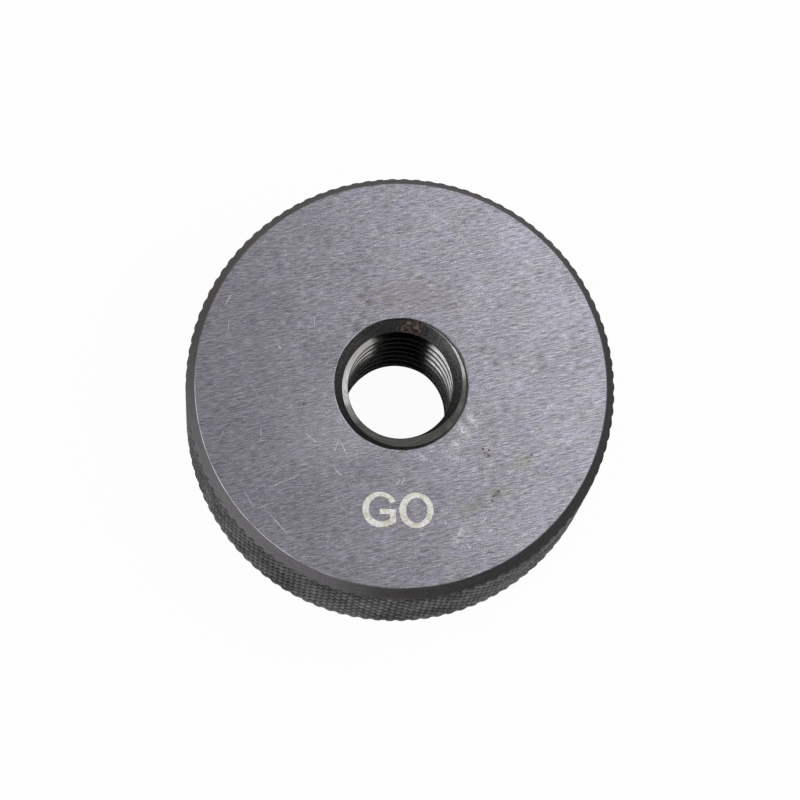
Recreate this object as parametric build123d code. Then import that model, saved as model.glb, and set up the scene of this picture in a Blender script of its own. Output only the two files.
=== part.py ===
from build123d import *

import math
import os

# Thread ring gauge, GO member: one hardened steel ring with a 3/8-16 thread bore and a
# diamond-knurled rim. Millimetres. The origin is the centre of the bottom face, and +Z runs
# along the bore towards the marked face.

# Blank
blank_diameter = 32.0
blank_height = 14.0
face_diameter = 30.6
edge_chamfer_angle = 28.0

# Thread: unified coarse form, 60 degree flanks. The bore is left plain at the minor diameter,
# where the crests of the thread stand.
thread_nominal = 25.4 * 3 / 8
thread_pitch = 25.4 / 16
minor_diameter = thread_nominal - 1.25 * math.cos(math.radians(30)) * thread_pitch
mouth_diameter = 10.0
mouth_angle = 90.0

# Knurl: crossed left-hand and right-hand grooves that leave pointed diamonds. It runs out into
# the edge chamfers, so the diamonds of its first and last rows stop lower than the others.
knurl_grooves = 106
knurl_angle = 30.0
knurl_depth = 0.28
knurl_margin = 0.9
core_clearance = 0.02

# Derived sizes
blank_radius = blank_diameter / 2
face_radius = face_diameter / 2
bore_radius = minor_diameter / 2
mouth_radius = mouth_diameter / 2
mouth_depth = (mouth_radius - bore_radius) / math.tan(math.radians(mouth_angle / 2))
knurl_pitch = math.pi * blank_diameter / knurl_grooves
diamond_height = knurl_pitch / math.tan(math.radians(knurl_angle))
knurl_height = blank_height - 2 * knurl_margin
knurl_rows = round(knurl_height / (diamond_height / 2))
row_height = knurl_height / knurl_rows
groove_radius = blank_radius - knurl_depth
chamfer_slope = math.tan(math.radians(edge_chamfer_angle))
run_out_radius = face_radius + knurl_margin * chamfer_slope
core_radius = groove_radius - core_clearance
chamfer_height = (core_radius - face_radius) / chamfer_slope


def turned_core():
    """The ring without its knurl: chamfered rims, bore and a countersink at each mouth."""
    with BuildPart() as core:
        with BuildSketch(Plane.XZ):
            with BuildLine():
                Polyline(
                    (bore_radius, mouth_depth),
                    (mouth_radius, 0),
                    (face_radius, 0),
                    (core_radius, chamfer_height),
                    (core_radius, blank_height - chamfer_height),
                    (face_radius, blank_height),
                    (mouth_radius, blank_height),
                    (bore_radius, blank_height - mouth_depth),
                    close=True,
                )
            make_face()
        revolve(axis=Axis.Z)
    return core.part


def knurl_point(column, row):
    """A point of the diamond lattice. Grooves cross where column and row add up to an even number."""
    if (column + row) % 2 == 0:
        radius = groove_radius
    elif row in (0, knurl_rows):
        radius = run_out_radius
    else:
        radius = blank_radius
    angle = math.pi * column / knurl_grooves
    height = knurl_margin + row * row_height
    return Vector(radius * math.cos(angle), radius * math.sin(angle), height)


def triangle(a, b, c):
    return Face(Wire.make_polygon([a, b, c]))


def lattice_cell(column, row):
    """Two flanks of one lattice cell, which meet along the bottom of the groove that crosses it."""
    a = knurl_point(column, row)
    b = knurl_point(column + 1, row)
    c = knurl_point(column + 1, row + 1)
    d = knurl_point(column, row + 1)
    if (column + row) % 2 == 0:
        return [triangle(a, b, c), triangle(a, c, d)]
    return [triangle(a, b, d), triangle(b, c, d)]


def knurled_band():
    """The knurled rim as a sleeve whose bore is hidden inside the turned core."""
    columns = range(2 * knurl_grooves)
    faces = []
    for row in range(knurl_rows):
        for column in columns:
            faces += lattice_cell(column, row)
    for row in (0, knurl_rows):
        faces.append(Face(Wire.make_polygon([knurl_point(column, row) for column in columns])))
    band = Solid(Shell(faces))
    return band - Pos(0, 0, blank_height / 2) * Cylinder(mouth_radius, blank_height)


gauge_ring = turned_core() + knurled_band()
gauge_ring.label = "gauge_ring"

os.makedirs("parts", exist_ok=True)
export_step(gauge_ring, "parts/gauge_ring.step")
print("gauge_ring volume", round(gauge_ring.volume, 1), "faces", len(gauge_ring.faces()))
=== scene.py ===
import math

import bmesh
import bpy
import numpy as np
from mathutils import Matrix, Quaternion, Vector


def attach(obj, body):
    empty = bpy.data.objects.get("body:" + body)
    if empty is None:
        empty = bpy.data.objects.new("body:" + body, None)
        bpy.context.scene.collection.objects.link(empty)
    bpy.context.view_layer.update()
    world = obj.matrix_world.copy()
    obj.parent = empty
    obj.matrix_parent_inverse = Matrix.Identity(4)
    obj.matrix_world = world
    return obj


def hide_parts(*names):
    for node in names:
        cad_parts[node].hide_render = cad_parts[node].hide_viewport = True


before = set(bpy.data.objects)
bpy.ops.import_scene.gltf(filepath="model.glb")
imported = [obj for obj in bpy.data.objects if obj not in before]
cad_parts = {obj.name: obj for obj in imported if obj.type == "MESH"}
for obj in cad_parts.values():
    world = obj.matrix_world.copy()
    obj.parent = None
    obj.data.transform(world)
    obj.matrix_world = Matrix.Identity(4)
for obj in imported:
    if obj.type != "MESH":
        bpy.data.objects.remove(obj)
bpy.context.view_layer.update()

# Shapes are built in millimetres in the frame's own axes, and scaled to metres at the end.
MM = 0.001

# Blank, as in the CAD source
BLANK_RADIUS = 16.0
BLANK_HEIGHT = 14.0
FACE_RADIUS = 15.3
CHAMFER_SLOPE = math.tan(math.radians(28))

# How far the rubbed edges of the faces are rounded
EDGE_REACH = 0.035
EDGE_BLEND = 0.01  # over which their colour fades into the face's

# Thread: 3/8-16, right-hand, cut in a bore with a 90 degree countersink at each mouth
THREAD_PITCH = 25.4 / 16
MAJOR_RADIUS = 25.4 * 3 / 16
MINOR_RADIUS = MAJOR_RADIUS - 0.625 * math.cos(math.radians(30)) * THREAD_PITCH
MOUTH_RADIUS = 5.0
FLANK_SLOPE = math.tan(math.radians(30))
THREAD_START = 0.57  # depth of the first groove under the marked face, towards -Y
RELIEF_RADIUS = 4.90  # a slot at the thread's root, as such gauges often have; the photo hides it
RELIEF_WIDTH = 0.50
CREST_WIDTH = 0.40

# Knurl. Its first and last rows of tips stand where the chamfers end.
KNURL_GROOVES = 106
KNURL_DEPTH = 0.26
KNURL_RUN_OUT = (4.7, 5.7)  # between these distances from mid-height the grooves grow shallower
KNURL_END_SHARE = 0.45  # share of the depth that is left beyond them
KNURL_MARGIN = 1.307
KNURL_ROWS = 14
TIP_FLAT = 0.34

# Letters marked into the face: the centre and half sizes of each curve of their strokes
LETTER_DEPTH = 0.04
LETTER_STEPS = 48
G_OUTER = ((-1.38, -9.465), (1.31, 1.325))
G_INNER = ((-1.36, -9.41), (0.84, 0.92))
G_ENDS = (27, 272)  # degrees at which its curves start and end
O_OUTER = ((1.305, -9.46), (1.275, 1.33))
O_INNER = ((1.33, -9.47), (0.78, 0.94))
O_ENDS = (0, 360 - 360 / LETTER_STEPS)  # all round, without the first point again

# Cutters and stock stand out this far past the surface that they cut
CUT_PAST = 0.2
HOLE_PAST = 0.1
RIM_PAST = 0.3
SPARE_TURNS = 2  # of the thread cutter, above the marked face

# How finely curves are cut
CELL_STEPS = 4
TURN_STEPS = 424
THREAD_STEPS = 212
SHARP_ANGLE = 9.0

# Grinding marks run up to the right across the face
GRAIN_TURN = 13.5


def new_object(name, points, faces):
    """An object with its faces turned to look outwards."""
    mesh = bpy.data.meshes.new(name)
    mesh.from_pydata([tuple(p) for p in points], [], faces)
    tidy = bmesh.new()
    tidy.from_mesh(mesh)
    bmesh.ops.recalc_face_normals(tidy, faces=tidy.faces)
    tidy.to_mesh(mesh)
    tidy.free()
    made = bpy.data.objects.new(name, mesh)
    bpy.context.scene.collection.objects.link(made)
    return made


def carve(body, tool, operation):
    """Applies one boolean to body and removes the tool."""
    modifier = body.modifiers.new("carve", "BOOLEAN")
    modifier.operation = operation
    modifier.object = tool
    modifier.solver = "MANIFOLD"
    graph = bpy.context.evaluated_depsgraph_get()
    carved = bpy.data.meshes.new_from_object(body.evaluated_get(graph))
    body.modifiers.clear()
    body.data = carved
    bpy.data.objects.remove(tool)


# ---------------------------------------------------------------- the ring's shape


def softened(profile, corner, reach, steps=3):
    """The profile with one corner rounded. Its outer points keep the shading of the sides flat."""
    before = np.array(profile[corner - 1])
    at = np.array(profile[corner])
    after = np.array(profile[(corner + 1) % len(profile)])
    start = at + (before - at) / np.linalg.norm(before - at) * reach
    end = at + (after - at) / np.linalg.norm(after - at) * reach
    round_points = [tuple(2 * start - at)]
    for t in np.linspace(0, 1, steps + 1):
        point = (1 - t) ** 2 * start + 2 * t * (1 - t) * at + t**2 * end
        round_points.append(tuple(point))
    round_points.append(tuple(2 * end - at))
    return profile[:corner] + round_points + profile[corner + 1 :]


def turned_blank():
    """The ring without knurl and thread. Its rim stands out past the knurl, which trims it."""
    past = BLANK_RADIUS + RIM_PAST
    rise = (past - FACE_RADIUS) / CHAMFER_SLOPE
    sink = MOUTH_RADIUS - MINOR_RADIUS
    profile = [
        (MOUTH_RADIUS, 0.0),
        (FACE_RADIUS, 0.0),
        (past, rise),
        (past, BLANK_HEIGHT - rise),
        (FACE_RADIUS, BLANK_HEIGHT),
        (MOUTH_RADIUS, BLANK_HEIGHT),
        (MINOR_RADIUS, BLANK_HEIGHT - sink),
        (MINOR_RADIUS, sink),
    ]
    for corner in (5, 4, 1, 0):
        profile = softened(profile, corner, EDGE_REACH)
    points = []
    for angle in np.arange(TURN_STEPS) * math.tau / TURN_STEPS:
        points += [(r * math.cos(angle), r * math.sin(angle), z) for r, z in profile]
    count = len(profile)
    faces = []
    for turn in range(TURN_STEPS):
        here, there = turn * count, (turn + 1) % TURN_STEPS * count
        for i in range(count):
            j = (i + 1) % count
            faces.append((here + i, there + i, there + j, here + j))
    return new_object("gauge_ring_body", points, faces)


def knurl_rise(column, row):
    """Height over the groove bottoms, 0 to 1, at a column and row counted in lattice cells."""
    first = (column + row) / 2
    second = (column - row) / 2
    from_first = np.abs(first - np.round(first))
    from_second = np.abs(second - np.round(second))
    return np.minimum(2 * np.minimum(from_first, from_second) / (1 - TIP_FLAT), 1)


def knurled_stock():
    """A solid bar with the diamond knurl, a little longer than the ring."""
    columns = 2 * KNURL_GROOVES * CELL_STEPS
    row_height = (BLANK_HEIGHT - 2 * KNURL_MARGIN) / KNURL_ROWS
    spare_rows = math.ceil(KNURL_MARGIN / row_height)
    rows = (KNURL_ROWS + 2 * spare_rows) * CELL_STEPS
    column = np.arange(columns) / CELL_STEPS
    row = np.arange(rows + 1) / CELL_STEPS - spare_rows
    column_grid, row_grid = np.meshgrid(column, row)
    height = KNURL_MARGIN + row_grid * row_height
    from_middle = np.abs(height - BLANK_HEIGHT / 2)
    depth = KNURL_DEPTH * np.interp(from_middle, KNURL_RUN_OUT, (1, KNURL_END_SHARE))
    radius = BLANK_RADIUS - depth * (1 - knurl_rise(column_grid, row_grid))
    angle = math.pi * column_grid / KNURL_GROOVES
    wall = np.stack([radius * np.cos(angle), radius * np.sin(angle), height], axis=-1)
    points = list(wall.reshape(-1, 3))
    faces = []
    for j in range(rows):
        for i in range(columns):
            a = j * columns + i
            b = j * columns + (i + 1) % columns
            c, d = b + columns, a + columns
            rising = (i // CELL_STEPS + j // CELL_STEPS - spare_rows) % 2 == 0
            faces += [(a, b, c), (a, c, d)] if rising else [(a, b, d), (b, c, d)]
    for end in (0, rows):
        points.append((0.0, 0.0, height[end, 0]))
        hub = len(points) - 1
        for i in range(columns):
            faces.append((hub, end * columns + i, end * columns + (i + 1) % columns))
    return new_object("knurled_stock", points, faces)


def thread_cutter():
    """The thread groove as one helical bar, which runs out past both faces."""
    crest_half = (THREAD_PITCH - CREST_WIDTH) / 2
    relief_half = RELIEF_WIDTH / 2
    relief_start = MINOR_RADIUS + (crest_half - relief_half) / FLANK_SLOPE
    inner_radius = MINOR_RADIUS - CUT_PAST
    inner_half = crest_half + (MINOR_RADIUS - inner_radius) * FLANK_SLOPE
    section = [
        (inner_radius, -inner_half),
        (relief_start, -relief_half),
        (RELIEF_RADIUS, -relief_half),
        (RELIEF_RADIUS, relief_half),
        (relief_start, relief_half),
        (inner_radius, inner_half),
    ]
    count = len(section)
    turns = math.ceil(BLANK_HEIGHT / THREAD_PITCH) + 3
    steps = turns * THREAD_STEPS
    towards_mark = -math.pi / 2
    points = []
    for step in range(steps + 1):
        turned = step / THREAD_STEPS - SPARE_TURNS
        angle = towards_mark - turned * math.tau
        centre = BLANK_HEIGHT - THREAD_START - turned * THREAD_PITCH
        points += [(r * math.cos(angle), r * math.sin(angle), centre + z) for r, z in section]
    faces = [tuple(range(count))]
    for step in range(steps):
        here, there = count * step, count * (step + 1)
        for i in range(count):
            j = (i + 1) % count
            faces += [(here + i, here + j, there + i), (here + j, there + j, there + i)]
    faces.append(tuple(count * steps + i for i in range(count)))
    return new_object("thread_cutter", points, faces)


def arc(centre, radii, start, end):
    """Points of an ellipse's arc, its ends given in degrees."""
    turns = np.radians(np.linspace(start, end, LETTER_STEPS))
    return [(centre[0] + radii[0] * math.cos(t), centre[1] + radii[1] * math.sin(t)) for t in turns]


def bow(start, pull, end, steps=8):
    """Points of a curve from start to end that leans towards pull. Both ends are left out."""
    start, pull, end = np.array(start), np.array(pull), np.array(end)
    turns = np.linspace(0, 1, steps + 1)[1:-1]
    return [tuple((1 - t) ** 2 * start + 2 * t * (1 - t) * pull + t**2 * end) for t in turns]


def letter_g():
    outer = arc(*G_OUTER, *G_ENDS)
    inner = arc(*G_INNER, *reversed(G_ENDS))
    foot = (-0.18, -10.38)
    heel = (-0.64, -10.15)
    stem = [foot, (-0.18, -9.41), (-1.42, -9.41), (-1.42, -9.81), (-0.64, -9.81), heel]
    under = bow(outer[-1], (-0.72, -10.79), foot)
    over = bow(heel, (-0.93, -10.33), inner[0])
    return outer + under + stem + over + inner


def prism(name, outline, low, high):
    count = len(outline)
    points = [(x, y, low) for x, y in outline] + [(x, y, high) for x, y in outline]
    faces = [tuple(range(count)), tuple(range(2 * count - 1, count - 1, -1))]
    for i in range(count):
        j = (i + 1) % count
        faces.append((i, j, count + j, count + i))
    return new_object(name, points, faces)


def letter_cutters():
    """The letters G and O, as prisms that stand out above the face."""
    low = BLANK_HEIGHT - LETTER_DEPTH
    high = BLANK_HEIGHT + CUT_PAST
    g = prism("letter_g", letter_g(), low, high)
    o = prism("letter_o", arc(*O_OUTER, *O_ENDS), low, high)
    hole = prism("letter_o_hole", arc(*O_INNER, *O_ENDS), low - HOLE_PAST, high + HOLE_PAST)
    carve(o, hole, "DIFFERENCE")
    return g, o


# ---------------------------------------------------------------- materials


class Finish:
    """One material's nodes. Its coordinates are the object's own, in millimetres."""

    def __init__(self, name, metallic):
        self.material = bpy.data.materials.new(name)
        self.material.use_nodes = True
        self.tree = self.material.node_tree
        self.shader = self.tree.nodes["Principled BSDF"]
        self.shader.inputs["Metallic"].default_value = metallic
        place = self.tree.nodes.new("ShaderNodeTexCoord").outputs["Object"]
        self.place = self.vector("MULTIPLY", place, (1 / MM, 1 / MM, 1 / MM))

    def put(self, socket, value):
        if isinstance(value, bpy.types.NodeSocket):
            self.tree.links.new(value, socket)
        elif socket.type == "RGBA":
            socket.default_value = (*value, 1)
        else:
            socket.default_value = value

    def vector(self, operation, *values):
        node = self.tree.nodes.new("ShaderNodeVectorMath")
        node.operation = operation
        for socket, value in zip(node.inputs, values):
            self.put(socket, value)
        return node.outputs["Value" if operation in ("LENGTH", "DOT_PRODUCT") else "Vector"]

    def sum(self, operation, *values):
        node = self.tree.nodes.new("ShaderNodeMath")
        node.operation = operation
        for socket, value in zip(node.inputs, values):
            self.put(socket, value)
        return node.outputs["Value"]

    def local(self, centre, turn, size):
        """Coordinates about centre, turned by turn degrees and counted in sizes."""
        node = self.tree.nodes.new("ShaderNodeMapping")
        node.vector_type = "TEXTURE"
        self.put(node.inputs["Vector"], self.place)
        node.inputs["Location"].default_value = centre
        node.inputs["Rotation"].default_value = (0, 0, math.radians(turn))
        node.inputs["Scale"].default_value = size
        return node.outputs["Vector"]

    def noise(self, size, turn=0.0, detail=2.0, seed=0.0):
        """Grey noise whose grains are about as large as size says. Seed moves it elsewhere."""
        node = self.tree.nodes.new("ShaderNodeTexNoise")
        self.put(node.inputs["Vector"], self.local((seed, seed, 0), turn, size))
        node.inputs["Scale"].default_value = 1
        node.inputs["Detail"].default_value = detail
        return node.outputs["Fac"]

    def ramp(self, value, low, high, start=0.0, end=1.0):
        node = self.tree.nodes.new("ShaderNodeMapRange")
        for socket, number in zip(node.inputs, (value, low, high, start, end)):
            self.put(socket, number)
        return node.outputs["Result"]

    def mix(self, share, first, second, blend="MIX"):
        node = self.tree.nodes.new("ShaderNodeMix")
        node.data_type = "RGBA"
        node.blend_type = blend
        for key, value in (("Factor_Float", share), ("A_Color", first), ("B_Color", second)):
            self.put(next(s for s in node.inputs if s.identifier == key), value)
        return next(s for s in node.outputs if s.identifier == "Result_Color")

    def spot(self, x, y, length, width, turn, height=BLANK_HEIGHT):
        """1 at the middle of a long or round mark on the face, 0 at its edge."""
        node = self.tree.nodes.new("ShaderNodeTexGradient")
        node.gradient_type = "SPHERICAL"
        place = self.local((x, y, height), turn, (length / 2, width / 2, 1))
        self.put(node.inputs["Vector"], place)
        return node.outputs["Fac"]

    def spots(self, marks):
        total = None
        for mark in marks:
            one = self.spot(*mark)
            total = one if total is None else self.sum("MAXIMUM", total, one)
        return total

    def radius(self):
        return self.vector("LENGTH", self.vector("MULTIPLY", self.place, (1, 1, 0)))

    def towards(self, direction, low, high, start=0.0, end=1.0):
        """A ramp that grows towards one side."""
        return self.ramp(self.vector("DOT_PRODUCT", self.place, direction), low, high, start, end)

    def oxide(self, *lines_size):
        """The tone of an oxide coat: turning lines and specks."""
        lines = self.noise(lines_size, detail=2, seed=3)
        specks = self.noise((0.15, 0.15, 0.15), detail=2, seed=23)
        tone = self.sum("MULTIPLY", self.ramp(lines, 0.3, 0.7), 0.5)
        return self.sum("MULTIPLY_ADD", self.ramp(specks, 0.3, 0.7), 0.5, tone)

    def bump(self, height, depth):
        """Relief of the given depth in millimetres."""
        node = self.tree.nodes.new("ShaderNodeBump")
        node.inputs["Distance"].default_value = depth * MM
        self.put(node.inputs["Height"], height)
        self.put(self.shader.inputs["Normal"], node.outputs["Normal"])

    def done(self, colour, roughness):
        self.put(self.shader.inputs["Base Color"], colour)
        self.put(self.shader.inputs["Roughness"], roughness)
        return self.material


def scratch(x1, y1, x2, y2, width=0.09):
    """A mark between two points of the face."""
    length = math.hypot(x2 - x1, y2 - y1)
    turn = math.degrees(math.atan2(y2 - y1, x2 - x1))
    return ((x1 + x2) / 2, (y1 + y2) / 2, length * 1.15, width, turn)


# Marks on the face, each placed from the photo: scratches by their ends, and the others by
# centre x and y, length, width and turn in degrees
BRIGHT_SCRATCHES = [
    scratch(-12.66, 6.61, -13.29, 5.49, 0.13),
    scratch(-12.90, 4.63, -12.94, 3.41, 0.07),
    scratch(-6.56, 4.97, -6.54, 4.13, 0.09),
    scratch(-9.18, 2.69, -8.98, 2.39, 0.14),
    scratch(-13.38, -4.60, -13.00, -3.76, 0.08),
    scratch(-10.31, -3.54, -10.29, -4.29, 0.08),
    scratch(-7.09, -3.75, -6.52, -4.33, 0.07),
    scratch(-6.52, -4.33, -5.92, -4.66, 0.07),
    scratch(-9.39, -8.01, -8.37, -7.46, 0.10),
    scratch(-8.37, -7.46, -7.49, -7.13, 0.08),
    scratch(-10.52, -9.68, -9.57, -9.28, 0.09),
    scratch(-11.52, -8.22, -10.59, -9.69, 0.08),
    scratch(-9.71, -9.81, -7.89, -11.77, 0.11),
    scratch(-4.52, -4.30, -4.95, -5.49, 0.08),
    scratch(-4.45, -4.35, -3.83, -5.68, 0.09),
    scratch(-4.95, -6.40, -4.20, -7.05, 0.08),
    scratch(-3.70, -6.90, -3.05, -7.55, 0.08),
    scratch(-0.25, -7.65, 0.05, -7.15, 0.09),
    scratch(0.15, -7.60, 0.42, -7.00, 0.08),
    scratch(6.08, -10.28, 6.15, -10.13, 0.16),
    scratch(6.15, -10.25, 6.52, -9.82, 0.10),
    scratch(5.07, -11.80, 5.37, -12.31, 0.12),
    scratch(6.75, -10.78, 7.05, -10.78, 0.10),
    scratch(6.75, -10.78, 6.76, -11.01, 0.10),
    scratch(11.39, -9.39, 11.83, -9.00, 0.09),
    scratch(9.62, -3.43, 9.91, -3.27, 0.12),
    scratch(10.86, -1.51, 11.00, -1.50, 0.14),
    scratch(3.49, -10.20, 3.50, -10.50, 0.18),
    scratch(4.19, -2.90, 4.87, -3.79, 0.10),
    scratch(3.84, -4.12, 4.44, -4.63, 0.10),
    scratch(5.14, -2.20, 5.75, -3.31, 0.08),
]
BRIGHT_SMUDGES = [
    (4.60, -3.30, 2.2, 1.00, 130),
    (5.30, -2.60, 1.8, 0.80, 125),
    (4.10, -4.45, 1.6, 0.90, 40),
    (3.75, -5.25, 1.7, 0.70, -25),
    (1.70, -5.50, 1.2, 0.50, 130),
    (4.60, -11.2, 2.2, 1.20, 60),
]
DARK_PITS = [
    (6.14, -4.73, 0.24, 0.24, 0),
    (6.59, -4.79, 0.26, 0.20, 0),
    (6.55, -5.20, 0.22, 0.20, 0),
    (-7.18, -1.72, 0.24, 0.24, 0),
    (9.75, -5.10, 0.20, 0.20, 0),
    (7.35, -7.85, 0.34, 0.22, 20),
    (7.00, -8.25, 0.30, 0.18, 20),
    (6.90, -8.60, 0.22, 0.20, 0),
]
BROWN_STAINS = [
    (-3.06, 6.60, 0.9, 0.6, 0),
    (-2.53, 6.15, 0.8, 0.6, 30),
    (3.82, 6.04, 0.9, 0.7, 0),
    (6.45, -5.10, 1.1, 0.8, 0),
]
OLIVE_STAINS = [
    (9.12, -5.63, 2.4, 1.6, 10),
    (7.23, -8.08, 3.4, 1.5, 15),
    (5.25, -9.26, 4.2, 1.4, 14),
]


def side(azimuth):
    """A direction across the face."""
    return (math.cos(math.radians(azimuth)), math.sin(math.radians(azimuth)), 0)


# Sides of the chamfer: one paler as painted light, where the face's outer edge also gets its
# painted highlight, and one darker as painted shade
PAINTED_LIGHT_SIDE = side(-142)
PAINTED_SHADE_SIDE = side(-32)
# Sides of the bore: where the thread starts, where a dark reflection is painted on the far wall and
# on the crests, and where the thread is darker and the countersink paler than elsewhere
START_SIDE = side(-67)
PAINTED_REFLECTION_SIDE = side(82)
CREST_PAINTED_REFLECTION_SIDE = side(70)
DARKER_THREAD_SIDE = side(125)
PALER_MOUTH_SIDE = side(33)
RUST_SPOTS = [
    (0.88, 4.55, 1.7, 1.6, 0, BLANK_HEIGHT - 0.5),
    (0.25, 4.40, 1.6, 1.0, 20, BLANK_HEIGHT - 0.6),
]
OXIDE_SHEEN = (0.60, 0.60, 0.60)
DEEP_OXIDE_SHEEN = (0.25, 0.25, 0.25)


def ground_face():
    """Surface-ground steel: fine short grain, clouds, stains and handling marks, with painted shade
    and painted highlights on its rounded edges.
    """
    finish = Finish("ground_face", metallic=1)
    grain = finish.noise((0.68, 0.088, 1), GRAIN_TURN, detail=1.5)
    dust = finish.noise((0.11, 0.08, 1), GRAIN_TURN, detail=1, seed=71)
    streaks = finish.noise((2.6, 0.21, 1), GRAIN_TURN + 2, detail=2, seed=31)
    clouds = finish.noise((3.5, 3.0, 9), detail=2, seed=57)
    tone = finish.ramp(grain, 0.22, 0.78)
    for layer, weight in ((dust, 0.26), (streaks, 0.27), (clouds, 0.14)):
        tone = finish.sum("MULTIPLY_ADD", finish.ramp(layer, 0.3, 0.7, -0.5, 0.5), weight, tone)
    colour = finish.mix(tone, (0.152, 0.150, 0.158), (0.465, 0.460, 0.523))
    hue = finish.ramp(finish.noise((0.9, 0.7, 9), detail=2, seed=83), 0.35, 0.65)
    tint = finish.mix(hue, (1.0, 1.0, 0.97), (1.0, 0.975, 1.03))
    colour = finish.mix(1.0, colour, tint, "MULTIPLY")

    rubbed = finish.ramp(finish.spot(-4.6, -3.2, 11, 8, 30), 0, 0.6, 0, 0.15)
    colour = finish.mix(rubbed, colour, (0.66, 0.65, 0.70))
    mottle = finish.ramp(finish.noise((0.28, 0.16, 1), GRAIN_TURN, seed=11), 0.35, 0.62)
    olive = finish.sum("MULTIPLY", finish.ramp(finish.spots(OLIVE_STAINS), 0, 0.7), 0.55)
    olive_colour = finish.mix(tone, (0.135, 0.14, 0.12), (0.40, 0.40, 0.36))
    colour = finish.mix(olive, colour, olive_colour)
    brown = finish.sum("MULTIPLY", finish.ramp(finish.spots(BROWN_STAINS), 0, 0.6), mottle)
    colour = finish.mix(finish.sum("MULTIPLY", brown, 0.7), colour, (0.15, 0.105, 0.085))
    haze = finish.ramp(finish.spot(0.3, 6.7, 9, 3.2, 0), 0, 0.7, 0, 0.22)
    colour = finish.mix(haze, colour, (0.26, 0.20, 0.205))
    pits = finish.ramp(finish.spots(DARK_PITS), 0, 0.5)
    colour = finish.mix(finish.sum("MULTIPLY", pits, 0.85), colour, (0.05, 0.042, 0.045))

    # Bright marks: named scratches and smudges and a few stray hairlines. The rounded edges get
    # painted shade, with a painted highlight on one side of the outer edge and in patches along the
    # mouth's edge
    smudge = finish.sum("MULTIPLY", finish.ramp(finish.spots(BRIGHT_SMUDGES), 0, 0.9), 0.75)
    rough = finish.ramp(finish.noise((0.22, 0.22, 9), detail=3, seed=61), 0.35, 0.62)
    smudge = finish.sum("MULTIPLY", smudge, rough)
    breaks = finish.ramp(finish.noise((0.35, 0.35, 9), detail=1, seed=67), 0.35, 0.6, 0.35, 0.85)
    lines = finish.sum("MULTIPLY", finish.ramp(finish.spots(BRIGHT_SCRATCHES), 0, 0.6), breaks)
    marks = finish.sum("MAXIMUM", smudge, lines)
    for size, turn, seed in (((2.2, 0.07, 1), -52, 5), ((1.6, 0.07, 1), 71, 7)):
        hairs = finish.ramp(finish.noise(size, turn, detail=0, seed=seed), 0.77, 0.86, 0, 0.35)
        marks = finish.sum("MAXIMUM", marks, hairs)
    radius = finish.radius()
    outer_start = FACE_RADIUS - EDGE_REACH
    mouth_start = MOUTH_RADIUS + EDGE_REACH
    outer_edge = finish.ramp(radius, outer_start - EDGE_BLEND, outer_start)
    mouth_edge = finish.ramp(radius, mouth_start + EDGE_BLEND, mouth_start)
    wear_and_highlight_noise = finish.ramp(finish.noise((1.3, 1.3, 9), detail=3, seed=19), 0.40, 0.62, 0.0, 0.75)
    broken = finish.ramp(wear_and_highlight_noise, 0, 0.75, 0.35, 0.9)
    # Painted highlight on one side of the outer edge, broken up by noise
    painted_edge_highlight = finish.sum("MULTIPLY", finish.towards(PAINTED_LIGHT_SIDE, 8.0, 13.0), broken)
    edge = finish.sum("MULTIPLY", outer_edge, painted_edge_highlight)
    # Painted highlight in patches along the mouth's edge
    painted_mouth_highlight = finish.sum("MULTIPLY", mouth_edge, finish.sum("MULTIPLY", wear_and_highlight_noise, 0.5))
    edge = finish.sum("MAXIMUM", edge, painted_mouth_highlight)
    # Painted shade darkens both rounded edges, under the painted highlights
    painted_bevel_shade = finish.sum("MULTIPLY", finish.sum("MAXIMUM", outer_edge, mouth_edge), 0.7)
    colour = finish.mix(painted_bevel_shade, colour, (0.09, 0.088, 0.092))
    colour = finish.mix(finish.sum("MAXIMUM", marks, edge), colour, (0.72, 0.71, 0.74))

    finish.bump(tone, 0.010)
    return finish.done(colour, finish.ramp(tone, 0, 1, 0.27, 0.20))


def chamfer_steel():
    """The rims' chamfers: dark oxide with turning lines and brown patches, paler on one side as
    painted light and darker on another as painted shade.
    """
    finish = Finish("chamfer_steel", metallic=1)
    finish.put(finish.shader.inputs["Specular Tint"], OXIDE_SHEEN)
    tone = finish.oxide(5, 5, 0.07)
    colour = finish.mix(tone, (0.048, 0.046, 0.048), (0.104, 0.101, 0.104))
    brown = finish.ramp(finish.noise((5, 5, 4), detail=2, seed=47), 0.45, 0.68, 0, 0.7)
    brown_colour = finish.mix(tone, (0.056, 0.045, 0.038), (0.108, 0.090, 0.078))
    colour = finish.mix(brown, colour, brown_colour)
    # Painted shade: darker towards one side
    painted_shade_colour = finish.mix(tone, (0.022, 0.021, 0.022), (0.062, 0.060, 0.063))
    colour = finish.mix(finish.towards(PAINTED_SHADE_SIDE, 4, 12), colour, painted_shade_colour)
    # Painted light: paler towards another side
    painted_light_colour = finish.mix(tone, (0.130, 0.122, 0.130), (0.205, 0.195, 0.207))
    colour = finish.mix(finish.towards(PAINTED_LIGHT_SIDE, 10.5, 15.5), colour, painted_light_colour)
    finish.bump(tone, 0.008)
    return finish.done(colour, finish.ramp(tone, 0, 1, 0.52, 0.38))


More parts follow.
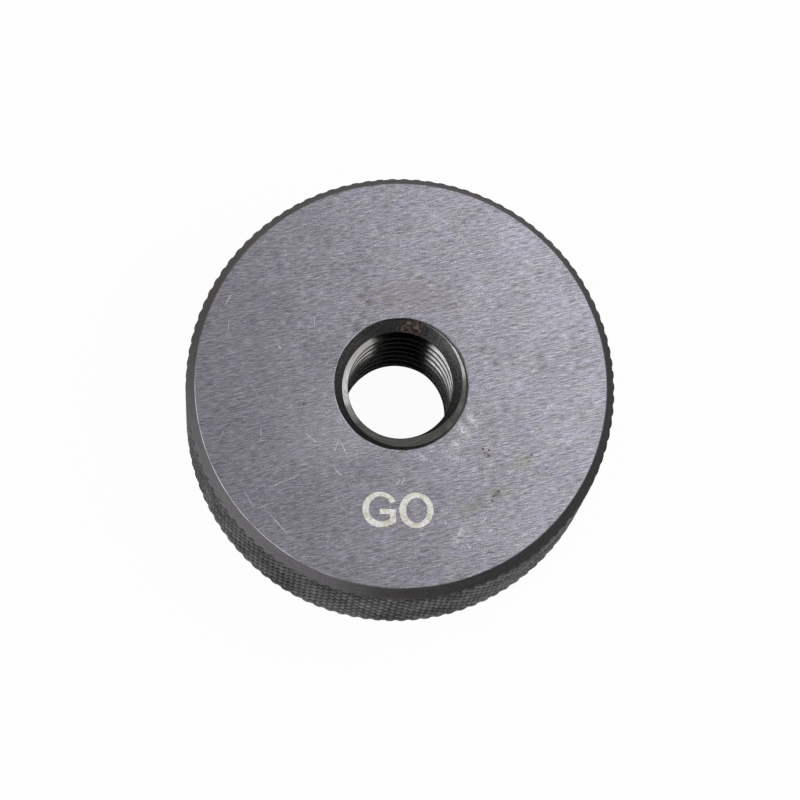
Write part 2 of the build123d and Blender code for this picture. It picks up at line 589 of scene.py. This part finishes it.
def knurled_steel():
    """The knurl: rubbed paler on its tips, black at its groove bottoms as painted shade, which
    painted light eases towards the run-outs.
    """
    finish = Finish("knurled_steel", metallic=1)
    finish.put(finish.shader.inputs["Specular Tint"], DEEP_OXIDE_SHEEN)
    tone = finish.oxide(0.3, 0.3, 0.3)
    wear_and_highlight_noise = finish.ramp(finish.noise((2.5, 2.5, 2.5), detail=3, seed=43), 0.35, 0.65)
    tips = finish.mix(wear_and_highlight_noise, (0.160, 0.157, 0.158), (0.295, 0.290, 0.291))
    # Painted shade: the colour goes black towards the groove bottoms
    painted_shade_below = BLANK_RADIUS - 0.75 * KNURL_DEPTH
    bright_above = BLANK_RADIUS - 0.05 * KNURL_DEPTH
    rise = finish.ramp(finish.radius(), painted_shade_below, bright_above)
    above_middle = finish.vector("SUBTRACT", finish.place, (0, 0, BLANK_HEIGHT / 2))
    from_middle = finish.vector("LENGTH", finish.vector("MULTIPLY", above_middle, (0, 0, 1)))
    # Painted light: the groove bottoms are lighter towards the run-outs, where the chamfers' lips
    # shade them
    ends = finish.ramp(from_middle, *KNURL_RUN_OUT)
    grooves = finish.mix(ends, (0.004, 0.0038, 0.0038), (0.055, 0.053, 0.054))
    colour = finish.mix(rise, grooves, tips)
    contrast = finish.mix(tone, (0.6, 0.6, 0.6), (1.35, 1.35, 1.35))
    colour = finish.mix(1.0, colour, contrast, "MULTIPLY")
    finish.bump(tone, 0.012)
    return finish.done(colour, finish.ramp(tone, 0, 1, 0.55, 0.40))


def mouth_steel():
    """The countersinks: dark oxide, with turning lines and specks of old rust."""
    finish = Finish("mouth_steel", metallic=1)
    finish.put(finish.shader.inputs["Specular Tint"], OXIDE_SHEEN)
    tone = finish.oxide(3, 3, 0.05)
    colour = finish.mix(tone, (0.012, 0.0115, 0.012), (0.120, 0.117, 0.120))
    flecks = finish.ramp(finish.noise((0.11, 0.11, 0.11), detail=1, seed=33), 0.56, 0.70, 0, 0.6)
    colour = finish.mix(flecks, colour, (0.21, 0.205, 0.21))
    # Paler towards one side
    paler_side = finish.towards(PALER_MOUTH_SIDE, 4.15, 4.65, 0, 0.45)
    colour = finish.mix(paler_side, colour, finish.mix(tone, (0.10, 0.098, 0.10), (0.26, 0.255, 0.262)))
    rust = finish.ramp(finish.spots(RUST_SPOTS), 0, 0.5)
    grains = finish.ramp(finish.noise((0.22, 0.22, 0.22), detail=4, seed=29), 0.46, 0.64)
    rust_colour = finish.mix(grains, (0.080, 0.056, 0.046), (0.46, 0.37, 0.33))
    colour = finish.mix(finish.sum("MULTIPLY", rust, 0.85), colour, rust_colour)
    finish.bump(tone, 0.004)
    return finish.done(colour, finish.ramp(tone, 0, 1, 0.42, 0.30))


def crest_steel():
    """The thread's crests and roots: near black as painted shade, and blacker towards the far side
    as a painted dark reflection.
    """
    finish = Finish("crest_steel", metallic=1)
    finish.put(finish.shader.inputs["Specular Tint"], DEEP_OXIDE_SHEEN)
    tone = finish.oxide(3, 3, 0.05)
    # Painted shade: the crests and roots are near black
    colour = finish.mix(tone, (0.010, 0.0096, 0.010), (0.040, 0.038, 0.039))
    # Painted dark reflection: blacker still towards the far side
    painted_dark_reflection = finish.towards(CREST_PAINTED_REFLECTION_SIDE, 2.9, 3.55, 0, 0.9)
    colour = finish.mix(painted_dark_reflection, colour, (0.005, 0.0046, 0.0044))
    return finish.done(colour, finish.ramp(tone, 0, 1, 0.42, 0.30))


def thread_steel():
    """Ground thread flanks: bright, with dirt, darker towards one side, with oxide left where the
    thread starts, a painted dark reflection on the far side and painted shade beside the crests.
    """
    finish = Finish("thread_steel", metallic=1)
    lines = finish.noise((2, 2, 0.05), detail=2, seed=13)
    dirt = finish.noise((0.4, 0.4, 0.3), detail=3, seed=37)
    speckle = finish.noise((0.12, 0.12, 0.12), detail=2, seed=53)
    tone = finish.ramp(lines, 0.3, 0.7)
    colour = finish.mix(tone, (0.33, 0.325, 0.325), (0.50, 0.49, 0.50))
    # Darker towards one side
    darker_side = finish.towards(DARKER_THREAD_SIDE, 2.0, 4.5, 0, 0.8)
    dirt_and_darker_side = finish.sum("MAXIMUM", finish.ramp(dirt, 0.52, 0.72, 0, 0.6), darker_side)
    colour = finish.mix(dirt_and_darker_side, colour, (0.14, 0.13, 0.115))
    height = finish.vector("DOT_PRODUCT", finish.place, (0, 0, 1))
    first_turn = finish.ramp(height, 12.2, 12.4, 0.65, 1)
    oxide = finish.sum("MULTIPLY", finish.towards(START_SIDE, 0.9, 1.5), first_turn)
    oxide_colour = finish.mix(tone, (0.120, 0.118, 0.106), (0.205, 0.202, 0.184))
    colour = finish.mix(oxide, colour, oxide_colour)
    # Painted dark reflection on the far side, with brown specks
    painted_dark_reflection = finish.towards(PAINTED_REFLECTION_SIDE, 3.35, 3.80)
    painted_dark_reflection = finish.sum("MULTIPLY", painted_dark_reflection, finish.ramp(first_turn, 0.65, 1, 1, 0.6))
    grains = finish.ramp(speckle, 0.56, 0.66, 0, 0.7)
    painted_reflection_colour = finish.mix(grains, (0.012, 0.011, 0.010), (0.13, 0.10, 0.08))
    colour = finish.mix(finish.sum("MULTIPLY", painted_dark_reflection, 0.92), colour, painted_reflection_colour)
    # Painted shade on the flanks beside the crests
    painted_crest_shade = finish.ramp(finish.radius(), MINOR_RADIUS + 0.07, MINOR_RADIUS + 0.02, 0, 0.88)
    colour = finish.mix(painted_crest_shade, colour, (0.010, 0.0095, 0.009))
    finish.bump(tone, 0.0008)
    return finish.done(colour, finish.ramp(dirt, 0.3, 0.7, 0.12, 0.22))


def etched_mark():
    """The marked letters: matt and pale, a little yellow in places."""
    finish = Finish("etched_mark", metallic=0)
    grains = finish.ramp(finish.noise((0.14, 0.10, 1), GRAIN_TURN, detail=2, seed=17), 0.32, 0.68)
    patches = finish.ramp(finish.noise((0.55, 0.55, 1), detail=2, seed=41), 0.47, 0.62, 0, 0.8)
    colour = finish.mix(grains, (0.58, 0.57, 0.53), (1.0, 0.99, 0.97))
    colour = finish.mix(patches, colour, finish.mix(grains, (0.36, 0.34, 0.25), (0.80, 0.78, 0.66)))
    finish.bump(grains, 0.01)
    return finish.done(colour, finish.ramp(grains, 0, 1, 0.65, 0.5))


FINISHES = (
    ground_face,
    etched_mark,
    chamfer_steel,
    knurled_steel,
    mouth_steel,
    crest_steel,
    thread_steel,
)
# A lean is the upright share of a face's normal: 1 on the flat faces, 0 on the bore's wall.
# The least ones on the rubbed edges, at the mouth and at the rim:
LEAST_EDGE_LEAN = (0.73, 0.52)
LEAST_CHAMFER_LEAN = 0.44
LEAST_FLANK_LEAN = 0.8
LEAST_MOUTH_LEAN = 0.6
# How far from its surface the middle of a face may lie
ON_FACE = 0.001
ON_CHAMFER = 0.02
BELOW_MARK = 0.01
MARK_MARGIN = 0.5  # between the letters and the edges of the face
MOUTH_MARGIN = 0.1
MID_FACE = 10.0  # radius that parts the edges at the mouth from those at the rim


def dress(body):
    """Gives each region of the ring its own finish, by where its faces are and how they lean."""
    body.data.materials.clear()
    for finish in FINISHES:
        body.data.materials.append(finish())
    face, mark, chamfer, knurl, mouth, crest, thread = range(len(FINISHES))
    for polygon in body.data.polygons:
        centre = polygon.center / MM
        radius = math.hypot(centre.x, centre.y)
        depth = min(centre.z, BLANK_HEIGHT - centre.z)
        lean = abs(polygon.normal.z)
        on_edge = depth < EDGE_REACH and radius > MOUTH_RADIUS - EDGE_REACH
        in_face = MOUTH_RADIUS + MARK_MARGIN < radius < FACE_RADIUS - MARK_MARGIN
        if depth < ON_FACE:
            index = face
        elif on_edge and lean > LEAST_EDGE_LEAN[radius > MID_FACE]:
            index = face
        elif depth < LETTER_DEPTH + BELOW_MARK and in_face:
            index = mark
        elif radius > MOUTH_RADIUS + MOUTH_MARGIN:
            off_chamfer = abs(radius - FACE_RADIUS - depth * CHAMFER_SLOPE)
            on_chamfer = off_chamfer < ON_CHAMFER and lean > LEAST_CHAMFER_LEAN
            index = chamfer if on_chamfer else knurl
        elif lean > LEAST_FLANK_LEAN:
            index = thread
        else:
            index = mouth if lean > LEAST_MOUTH_LEAN else crest
        polygon.material_index = index


def shade(body):
    """Smooth shading between edges sharper than SHARP_ANGLE."""
    mesh = bmesh.new()
    mesh.from_mesh(body.data)
    for face in mesh.faces:
        face.smooth = True
    for edge in mesh.edges:
        edge.smooth = edge.calc_face_angle(0) < math.radians(SHARP_ANGLE)
    mesh.to_mesh(body.data)
    mesh.free()


def gauge_ring():
    ring = turned_blank()
    carve(ring, knurled_stock(), "INTERSECT")
    carve(ring, thread_cutter(), "DIFFERENCE")
    for letter in letter_cutters():
        carve(ring, letter, "DIFFERENCE")
    ring.data.transform(Matrix.Scale(MM, 4))
    shade(ring)
    dress(ring)
    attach(ring, "root")
    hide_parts("gauge_ring")


# ---------------------------------------------------------------- camera, floor and lights

# The camera looks down on the marked face, which lies nearly square to it
CAMERA_AZIMUTH = -102.4
CAMERA_ELEVATION = 78.4
CAMERA_DISTANCE = 290.0
CAMERA_TARGET = (-0.063, -1.169, 13.765)
CAMERA_ROLL = 1.1
SENSOR_WIDTH = 36.0
FOCAL_PIXELS = 3910
IMAGE_PIXELS = 800
CLIP_START = 0.01  # in metres
CLIP_END = 10

WORLD_LEVEL = 0.42
FLOOR_RADIUS = 1100.0
BACKDROP_RADIUS = 1600.0
BACKDROP_TURN = 85  # how far the floor curves up, in degrees
FLOOR_STEPS = 96
FLOOR_GAP = 0.02  # keeps the ring's lower face clear of the floor
FLOOR_GLOW = 0.96  # share of plain white in the floor where it is seen
CARD_STEPS = 8


def direction(azimuth, elevation):
    azimuth, elevation = math.radians(azimuth), math.radians(elevation)
    flat = math.cos(elevation)
    return Vector((flat * math.cos(azimuth), flat * math.sin(azimuth), math.sin(elevation)))


def add_camera():
    back = direction(CAMERA_AZIMUTH, CAMERA_ELEVATION)
    place = Vector((0, 0, BLANK_HEIGHT)) + back * CAMERA_DISTANCE
    look = (Vector(CAMERA_TARGET) - place).normalized()
    roll = math.radians(CAMERA_ROLL)
    right = look.cross(Vector((-math.sin(roll), math.cos(roll), 0))).normalized()
    turn = Matrix((right, right.cross(look), -look)).transposed().to_4x4()
    camera = bpy.data.objects.new("camera", bpy.data.cameras.new("camera"))
    bpy.context.scene.collection.objects.link(camera)
    camera.matrix_world = Matrix.Translation(place * MM) @ turn
    camera.data.sensor_width = SENSOR_WIDTH
    camera.data.lens = SENSOR_WIDTH * FOCAL_PIXELS / IMAGE_PIXELS
    camera.data.clip_start = CLIP_START
    camera.data.clip_end = CLIP_END
    bpy.context.scene.camera = camera


def add_world():
    world = bpy.data.worlds.new("world")
    world.use_nodes = True
    world.node_tree.nodes["Background"].inputs["Color"].default_value = (WORLD_LEVEL,) * 3 + (1,)
    bpy.context.scene.world = world


def soft_box(name, place, size, level, aim=(0, 0, 0), turn=0.0):
    """A lamp whose surface is as bright as level says, where 1 is white."""
    lamp = bpy.data.lights.new(name, "AREA")
    lamp.shape = "RECTANGLE"
    lamp.size, lamp.size_y = size[0] * MM, size[1] * MM
    lamp.energy = level * math.pi * lamp.size * lamp.size_y
    box = bpy.data.objects.new(name, lamp)
    box.location = Vector(place) * MM
    facing = (Vector(place) - Vector(aim)).to_track_quat("Z", "Y")
    box.rotation_euler = (facing @ Quaternion((0, 0, 1), math.radians(turn))).to_euler()
    bpy.context.scene.collection.objects.link(box)


def floor_material():
    """White paper. It is lifted to white where it is seen, and keeps a share of its shadows."""
    material = bpy.data.materials.new("floor")
    material.use_nodes = True
    nodes, links = material.node_tree.nodes, material.node_tree.links
    shader = nodes["Principled BSDF"]
    shader.inputs["Base Color"].default_value = (0.95, 0.95, 0.95, 1)
    shader.inputs["Roughness"].default_value = 1
    shader.inputs["Specular IOR Level"].default_value = 0
    glow = nodes.new("ShaderNodeEmission")
    glow.inputs["Strength"].default_value = 1
    rays = nodes.new("ShaderNodeLightPath")
    seen = rays.outputs["Is Camera Ray"]
    for key in ("Is Glossy Ray", "Is Transmission Ray"):
        either = nodes.new("ShaderNodeMath")
        either.operation = "MAXIMUM"
        links.new(seen, either.inputs[0])
        links.new(rays.outputs[key], either.inputs[1])
        seen = either.outputs["Value"]
    share = nodes.new("ShaderNodeMath")
    share.operation = "MULTIPLY"
    links.new(seen, share.inputs[0])
    share.inputs[1].default_value = FLOOR_GLOW
    mix = nodes.new("ShaderNodeMixShader")
    links.new(share.outputs["Value"], mix.inputs["Fac"])
    links.new(shader.outputs["BSDF"], mix.inputs[1])
    links.new(glow.outputs["Emission"], mix.inputs[2])
    links.new(mix.outputs["Shader"], nodes["Material Output"].inputs["Surface"])
    return material


def add_floor():
    """A flat floor that curves up into a backdrop all round."""
    rise = BACKDROP_RADIUS - FLOOR_RADIUS
    profile = [(1.0, 0.0), (FLOOR_RADIUS, 0.0)]
    for turn in np.radians(np.linspace(0, BACKDROP_TURN, 18)[1:]):
        profile.append((FLOOR_RADIUS + rise * math.sin(turn), rise * (1 - math.cos(turn))))
    points = [(0.0, 0.0, 0.0)]
    for angle in np.arange(FLOOR_STEPS) * math.tau / FLOOR_STEPS:
        points += [(r * math.cos(angle), r * math.sin(angle), z) for r, z in profile]
    count = len(profile)
    faces = []
    for turn in range(FLOOR_STEPS):
        here, there = 1 + turn * count, 1 + (turn + 1) % FLOOR_STEPS * count
        faces.append((0, here, there))
        for i in range(count - 1):
            faces.append((here + i, here + i + 1, there + i + 1, there + i))
    floor = new_object("floor", points, faces)
    floor.data.transform(Matrix.Scale(MM, 4))
    floor.data.transform(Matrix.Translation((0, 0, -FLOOR_GAP * MM)))
    for face in floor.data.polygons:
        face.use_smooth = True
    floor.data.materials.append(floor_material())


def dark_card(name, azimuths, elevations, distance):
    """A black card beside the camera. Only the gauge's gloss shows it, as it would a dark room."""
    points = []
    for elevation in elevations:
        for azimuth in np.linspace(azimuths[0], azimuths[1], CARD_STEPS + 1):
            points.append(direction(azimuth, elevation) * distance * MM)
    row = CARD_STEPS + 1
    faces = [(i, i + 1, i + 1 + row, i + row) for i in range(CARD_STEPS)]
    card = new_object(name, points, faces)
    material = bpy.data.materials.new(name)
    material.use_nodes = True
    shader = material.node_tree.nodes["Principled BSDF"]
    shader.inputs["Base Color"].default_value = (0.01, 0.01, 0.01, 1)
    shader.inputs["Roughness"].default_value = 1
    shader.inputs["Specular IOR Level"].default_value = 0
    card.data.materials.append(material)
    card.visible_camera = False
    card.visible_diffuse = False
    card.visible_shadow = False


gauge_ring()
add_camera()
add_world()
add_floor()
# The key lamp lies flat, above and to the right of the gauge. The face mirrors it softly, and is
# paler on its right side for that.
soft_box("key", place=(390, 15, 300), size=(680, 610), level=1.2, aim=(390, 15, 0), turn=17)
soft_box("fill_left", place=(-330, -150, 280), size=(480, 280), level=1.1)
# The bore's far wall mirrors this card, which keeps it dark
dark_card("dark_card", azimuths=(-120, -42), elevations=(14, 62), distance=330)
bpy.context.scene.view_settings.view_transform = "Standard"
